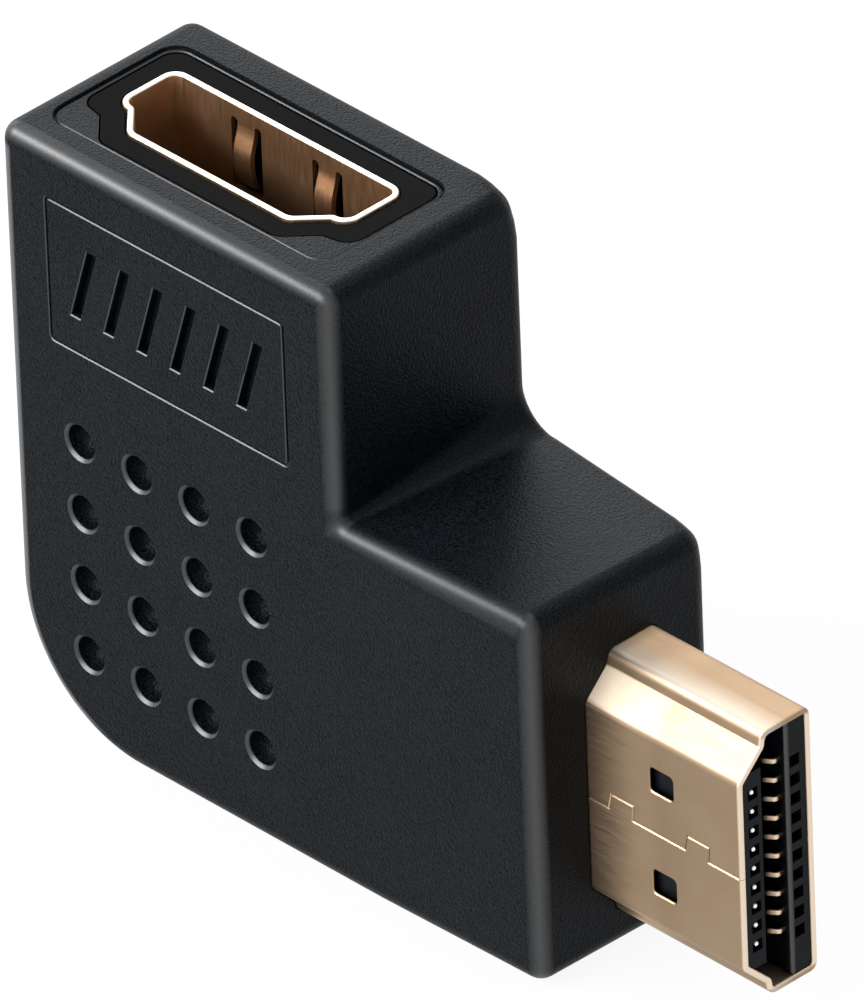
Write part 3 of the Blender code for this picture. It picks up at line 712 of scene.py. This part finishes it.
def board_blank(room, half_thick):
    """The board inside: against the backs of plug and socket, its heel corner cut off."""
    low, shoulder = PLUG_LEVEL - BOARD_AT_PLUG - room, PLUG_LEVEL + BOARD_AT_PLUG + room
    left, neck = SOCKET_X - BOARD_AT_SOCKET - room, SOCKET_X + BOARD_AT_SOCKET + room
    right, high = LENGTH - PLUG_DEPTH - FIT + room, HEIGHT - SOCKET_DEPTH - FIT + room
    corners = [(left + BOARD_CUT, low, 0), (right, low, 0), (right, shoulder, 0),
               (neck, shoulder, 0), (neck, high, 0), (left, high, 0), (left, low + BOARD_CUT, 0)]
    shape = turned(prism(corners, -half_thick, half_thick, 1), UPRIGHT_PLANE)
    return placed(shape, Matrix.Translation((0, BOARD_Y, 0)))


def make_elbow():
    line, bars = panel_tools()
    margin = 2 * (RING + COLLAR + RECESS_MARGIN)
    recess = box_corners(WIDTH + margin, DEPTH + margin, radius=RECESS_CORNER)
    collar_bottom = -COLLAR_DOWN - COLLAR_DEPTH - FIT
    shape = carve(
        elbow_blank(),
        placed(score(prism(recess, -RECESS, 1.0), 0, 0.0), SOCKET),
        placed(tube(recess, GROOVE, -RECESS - GROOVE_DEEP, 1.0), SOCKET),
        placed(score(prism(connector_corners(RING + COLLAR + FIT), collar_bottom, 1.1), 0, 0.0),
               SOCKET),
        placed(prism(connector_corners(RING + FIT), -SOCKET_DEPTH - END_ROOM, 1.2), SOCKET),
        placed(prism(connector_corners(FIT), -PLUG_DEPTH - END_ROOM, 1.0), PLUG),
        board_blank(BOARD_ROOM, HALF_BOARD_POCKET),
        dimple_tool(),
        line,
        bars,
    )
    above_dimples = PANEL_Z - PANEL_HEIGHT / 2 - 0.5
    on_panel = lambda place: (above_dimples < place.z < HEIGHT - INSIDE
                              and INSIDE < place.x < UPRIGHT - INSIDE)
    on_top = lambda place: (INSIDE < place.y < THICKNESS - INSIDE
                            and INSIDE < place.x < UPRIGHT - INSIDE)
    at_plug = lambda place: 1.5 < place.y < 9.5 and 1.2 < place.z < 17.5
    round_edges(shape, rim_edges(shape, 1, 0.0, on_panel), 0.055, 1)
    round_edges(shape, rim_edges(shape, 2, HEIGHT, on_top), 0.06)
    round_edges(shape, rim_edges(shape, 2, HEIGHT - RECESS, on_top), 0.05, 1)
    round_edges(shape, rim_edges(shape, 0, LENGTH, at_plug), 0.08)
    piece("moulded_elbow", shape, moulding, "housing", "housing")


def make_collar():
    bottom = -COLLAR_DOWN - COLLAR_DEPTH
    blank = prism(connector_corners(RING + COLLAR), bottom, -COLLAR_DOWN, 10)
    shape = carve(score(blank, 0, 0.0), prism(connector_corners(RING + FIT), bottom - 1, 1, 8))
    round_edges(shape, rim_edges(shape, 2, -COLLAR_DOWN), 0.1, 3)
    piece("black_collar", placed(shape, SOCKET), collar_black, "socket_collar", "socket_collar")


# The plug
def seam_tool():
    """The keyed seam where the folded sheet's two edges meet, as a thin cut."""
    path = [(SEAM_GROUND, -PLUG_DEPTH - 1)]
    for start in SEAM_KEYS:
        path += [(SEAM_GROUND, start), (SEAM_CREST, start + 0.18), (SEAM_CREST, start + 1.55),
                 (SEAM_GROUND, start + 1.48)]
    path.append((SEAM_GROUND, PLUG_REACH + 1))
    return turned(prism(strip_corners(path, SEAM_WIDTH), -DEPTH / 2 - 1, 0.0, 1), UPRIGHT_PLANE)


def make_plug_shell():
    shape = tube(connector_corners(), SHEET, -PLUG_DEPTH, PLUG_REACH, 8)
    round_edges(shape, rim_edges(shape, 2, PLUG_REACH), 0.11, 3)
    score(shape, 2, 0.3 - PLUG_DEPTH, PLUG_REACH - 0.2)
    windows = [prism(box_corners(WINDOW_WIDTH, WINDOW_HEIGHT, (x, PLUG_REACH - WINDOW_DOWN),
                                 WINDOW_CORNER), -4, 4, 5) for x in (-WINDOW_X, WINDOW_X)]
    shape = carve(shape, turned(joined(windows), UPRIGHT_PLANE), seam_tool())
    at_window = lambda place: 1.9 < abs(place.x) < 3.5 and 3.0 < place.z < 6.0
    for level in (-DEPTH / 2, DEPTH / 2):
        round_edges(shape, rim_edges(shape, 1, level, at_window), 0.06, 1)
    at_seam = lambda place: (abs(place.x) < 1.0
                             and 0.29 - PLUG_DEPTH < place.z < PLUG_REACH - 0.19)
    round_edges(shape, rim_edges(shape, 1, -DEPTH / 2, at_seam), 0.055, 1)
    piece("plug_sheet", placed(shape, PLUG), plug_gold, "plug_shell", "plug_shell")


def make_plug_block():
    """The black block in the plug: a slot with open ends, two bars and a pocket per contact."""
    front, back, slot_end = PLUG_REACH - BLOCK_RECESS, -PLUG_DEPTH + 1.0, PLUG_REACH - SLOT_DEEP
    middle = (FAR_BAR - NEAR_BAR) / 2
    shape = prism(connector_corners(-SHEET - FIT), back, front)
    score(shape, 1, WIDE_ROW, -NARROW_ROW)
    slot = prism(box_corners(WIDTH, NEAR_BAR + FAR_BAR, (0, middle)), slot_end, PLUG_REACH, 1)
    half = 4 * PITCH + SLOT_MARGIN
    side = HALF - half
    ends = joined([prism(box_corners(2 * side, DEPTH, (x, middle - DEPTH / 2)),
                         slot_end + FIT, PLUG_REACH, 1) for x in (-half - side, half + side)])
    tunnels, channels = [], []
    for sign, places, offset in ROWS:
        reach = offset - sign * middle
        centre = middle + sign * reach / 2
        for x in places:
            tunnels.append(prism(box_corners(POCKET, POCKET, (x, sign * offset)), back - 1,
                                 PLUG_REACH, 1))
            channels.append(prism(box_corners(POCKET + FIT, reach, (x, centre)), slot_end,
                                  front - CHANNEL_DOWN, 1))
    for cutters in ((slot, ends), (joined(tunnels),), (joined(channels),)):
        shape = carve(shape, *cutters)
    at_far_bar = lambda place: abs(place.y - FAR_BAR) < 0.01
    round_edges(shape, rim_edges(shape, 2, front, at_far_bar), 0.17, 4)
    piece("plug_block", placed(shape, PLUG), insulator_black, "plug_insulator", "plug_insulator")


# Contacts
def plug_contact_path(side, pocket):
    """Tail, stem in the pocket, bump in the slot, lead-in ramp, and a tip behind the lip."""
    tail = BOARD_Y + side * HALF_BOARD - PLUG_MIDDLE + side * (FIT + HALF_STRIP)
    wall = FAR_BAR if side > 0 else -NEAR_BAR
    stem = side * pocket
    path = [(tail, -PLUG_DEPTH - FIT - TAIL), (tail, -PLUG_DEPTH - FIT),
            (stem, -PLUG_DEPTH + 1.0 - FIT), (stem, PLUG_REACH - 6.72),
            (wall - side * 0.3, PLUG_REACH - 3.0)]
    if side > 0:
        path += [(wall - 0.75, PLUG_REACH - 1.55), (wall - 0.12, PLUG_REACH - 0.66),
                 (wall + 0.2, PLUG_REACH - 0.7)]
    else:
        path += [(wall + 0.4, PLUG_REACH - 1.8), (wall - 0.1, PLUG_REACH - 0.8),
                 (stem, PLUG_REACH - 0.62), (stem, PLUG_REACH - 0.34)]
    return eased(path, 0.25)


def tongue_face(side):
    return side * TONGUE_THICK / 2 - TONGUE_OFFSET


def socket_contact_path(side):
    """Tail on the board, and a straight blade in its groove in the tongue."""
    tail = BOARD_Y + side * HALF_BOARD - SOCKET_MIDDLE + side * (FIT + HALF_STRIP)
    seat = tongue_face(side) - side * (GROOVE_IN_TONGUE - FIT - HALF_STRIP)
    return [(tail, -SOCKET_DEPTH - FIT - TAIL), (tail, -SOCKET_DEPTH),
            (seat, -SOCKET_DEPTH + 0.8), (seat, -GROOVES_DOWN - FIT)]


def contact_strip(path):
    """A flat strip bent along a path in the connector's own Y and Z."""
    shape = turned(prism(strip_corners(path, CONTACT_THICK), -CONTACT_WIDTH / 2,
                         CONTACT_WIDTH / 2, 1), SIDE_PLANE)
    round_edges(shape, sharp_edges(shape, 60), 0.05)
    return shape


def make_contacts(kind, seat, paths):
    """Both rows of one connector, a piece for each contact: odd numbers on the wide side."""
    for (_, places, _), path, first in zip(ROWS, paths, (1, 2)):
        for index, x in enumerate(places):
            name = f"{kind}_contact_{first + 2 * index:02d}"
            strip = contact_strip(path)
            if kind == "plug" and first == 2:
                bead = Matrix.Translation((0, -NARROW_ROW + 0.04, PLUG_REACH - BEAD_DOWN))
                bmesh.ops.create_uvsphere(strip, u_segments=16, v_segments=10, radius=BEAD,
                                          matrix=bead)
            shape = placed(strip, seat @ Matrix.Translation((x, 0, 0)))
            piece(name + "_strip", shape, contact_gold, f"{kind}_contacts", name)


# The socket
def finger_slots():
    """Cuts that free two sprung fingers on each of the wide and narrow walls: sides, then feet."""
    end = -FINGER_TOP - FINGER_LONG
    sides = [prism(box_corners(FINGER_SLOT, FINGER_LONG,
                               (x + side * FINGER_SLOT_X, end + FINGER_LONG / 2), 0.2), -4, 4, 6)
             for x in (-FINGER_X, FINGER_X) for side in (-1, 1)]
    feet = [prism(box_corners(FOOT_SLOT_WIDTH, FOOT_SLOT, (x, end + FOOT_SLOT / 2), 0.12),
                  -4, 4, 4) for x in (-FINGER_X, FINGER_X)]
    return [turned(joined(sides), UPRIGHT_PLANE), turned(joined(feet), UPRIGHT_PLANE)]


def spring_bump(depth):
    """How far a finger stands into the socket at a depth below the top of its bend."""
    rise = min(max(depth, 0.0) / 1.5, 1.0)
    fall = max(0.0, (depth - 1.9) / 1.4)
    return BEND_REACH * (rise * rise * (3 - 2 * rise)) * (1.0 - 0.85 * min(fall, 1.0) ** 2)


def make_socket_shell():
    shape = tube(connector_corners(RING), SHEET, -SOCKET_DEPTH, 0.0, 8)
    round_edges(shape, rim_edges(shape, 2, 0.0), 0.09, 3)
    shape = carve(shape, *finger_slots())
    score(shape, 2, *(-0.75 - step * 0.24 for step in range(1, 14)), dist=0.0005)
    finger_end = FOOT_SLOT - FINGER_TOP - FINGER_LONG
    for vert in shape.verts:
        across = abs(abs(vert.co.x) - FINGER_X)
        on_wall = abs(vert.co.y) > DEPTH / 2 - 0.1
        if across < FINGER_HALF and on_wall and finger_end + 0.005 < vert.co.z < -BEND_TOP:
            vert.co.y -= math.copysign(spring_bump(-BEND_TOP - vert.co.z), vert.co.y)
    piece("socket_sheet", placed(shape, SOCKET), socket_gold, "socket_shell", "socket_shell")


def make_socket_block():
    """The block at the bottom of the socket, with the grooved tongue that stands in it."""
    back = -SOCKET_DEPTH + 0.8
    base = prism(connector_corners(MATING - FIT), back, back + 1.4)
    tongue = prism(box_corners(TONGUE_WIDTH, TONGUE_THICK, (0, -TONGUE_OFFSET), 0.12),
                   back + 0.7, -TONGUE_DOWN, 4)
    round_edges(tongue, rim_edges(tongue, 2, -TONGUE_DOWN), 0.15, 3)
    shape = carve(base, tongue, operation="UNION")
    grooves = []
    for side, places, _ in ROWS:
        middle = tongue_face(side) + side * 0.01
        grooves += [prism(box_corners(0.40, 2 * (GROOVE_IN_TONGUE + 0.01), (x, middle)),
                          back - 1, -GROOVES_DOWN, 1) for x in places]
    shape = carve(shape, joined(grooves))
    piece("socket_block", placed(shape, SOCKET), insulator_black, "socket_insulator",
          "socket_insulator")


make_elbow()
make_collar()
make_plug_shell()
make_plug_block()
make_contacts("plug", PLUG, (plug_contact_path(1, WIDE_ROW), plug_contact_path(-1, NARROW_ROW)))
make_socket_shell()
make_socket_block()
make_contacts("socket", SOCKET, (socket_contact_path(1), socket_contact_path(-1)))
piece("angled_board", board_blank(0.0, HALF_BOARD), board_green, "circuit_board",
      "circuit_board")


# Floor, light and camera
def make_floor():
    """A pale floor that the camera sees almost white, with the adapter's shadow on it."""
    shape = bmesh.new()
    bmesh.ops.create_grid(shape, x_segments=1, y_segments=1, size=3.0)
    floor = loose_object(shape, "pale_floor")
    surface = Surface("pale floor", Base_Color=(0.86, 0.86, 0.86, 1), Roughness=0.9,
                      Specular_IOR_Level=0.0)
    white = surface.node("ShaderNodeEmission", {}, {"Color": (1, 1, 1, 1), "Strength": 1.0})
    shader = Value(surface, surface.shader.outputs[0])
    whitened = surface.node("ShaderNodeMixShader", {}, (surface.seen() * 0.92, shader, white))
    surface.feed(surface.tree.nodes["Material Output"], "Surface", whitened)
    floor.data.materials.append(surface.material)


def make_world():
    """A white studio to look at, which lights the part only softly."""
    world = bpy.data.worlds.new("plain studio")
    world.use_nodes = True
    graph = Graph(world.node_tree)
    soft, white = (graph.node("ShaderNodeBackground", {}, ((1, 1, 1, 1), strength))
                   for strength in (0.3, 1.0))
    shown = graph.node("ShaderNodeMixShader", {}, (graph.seen(), soft, white))
    graph.feed(graph.tree.nodes["World Output"], "Surface", shown)
    scene.world = world


def add_softbox(name, direction, distance, width, height, radiance):
    """A soft light that faces the adapter's middle, its width level, of a given brightness."""
    light = bpy.data.lights.new(name, "AREA")
    light.shape = "RECTANGLE"
    light.size, light.size_y = width, height
    light.energy = radiance * math.pi * width * height
    lamp = bpy.data.objects.new(name, light)
    middle = Vector((0.0, 0.0, 0.012))
    lamp.location = middle + Vector(direction).normalized() * distance
    lamp.rotation_euler = Vector(direction).to_track_quat("Z", "Y").to_euler()
    scene.collection.objects.link(lamp)


def make_camera():
    """The photograph's view: from the right and above, almost without perspective."""
    azimuth, elevation, roll = (math.radians(angle) for angle in (46.98, 33.84, -2.26))
    distance, pixels_per_metre, sensor, picture_height = 1.5, 22740, 36, 1000
    back = Vector((math.sin(azimuth) * math.cos(elevation),
                   -math.cos(azimuth) * math.cos(elevation), math.sin(elevation)))
    level = Vector((math.cos(azimuth), math.sin(azimuth), 0.0))
    upright = back.cross(level)
    right = level * math.cos(roll) + upright * math.sin(roll)
    up = upright * math.cos(roll) - level * math.sin(roll)
    data = bpy.data.cameras.new("camera")
    data.lens = pixels_per_metre * distance * sensor / picture_height
    data.clip_start, data.clip_end = 0.05, 50.0
    camera = bpy.data.objects.new("camera", data)
    # Where the picture's middle falls, near the middle of the part
    middle = TO_FRAME @ Vector((17.0, 6.0, 14.0)) + (right * 2.448 + up * 1.61) * 0.001
    turn = Matrix((right, up, back)).transposed().to_4x4()
    camera.matrix_world = Matrix.Translation(middle + back * distance) @ turn
    scene.collection.objects.link(camera)
    scene.camera = camera


make_floor()
make_world()
add_softbox("left key", (-0.33, -0.76, 0.566), 0.40, 0.42, 0.10, 20.0)
add_softbox("back left sheet", (-0.76, 0.42, 0.50), 0.40, 0.30, 0.30, 3.3)
add_softbox("top sheet", (0.0, 0.25, 0.97), 0.40, 0.20, 0.20, 6.5)
make_camera()
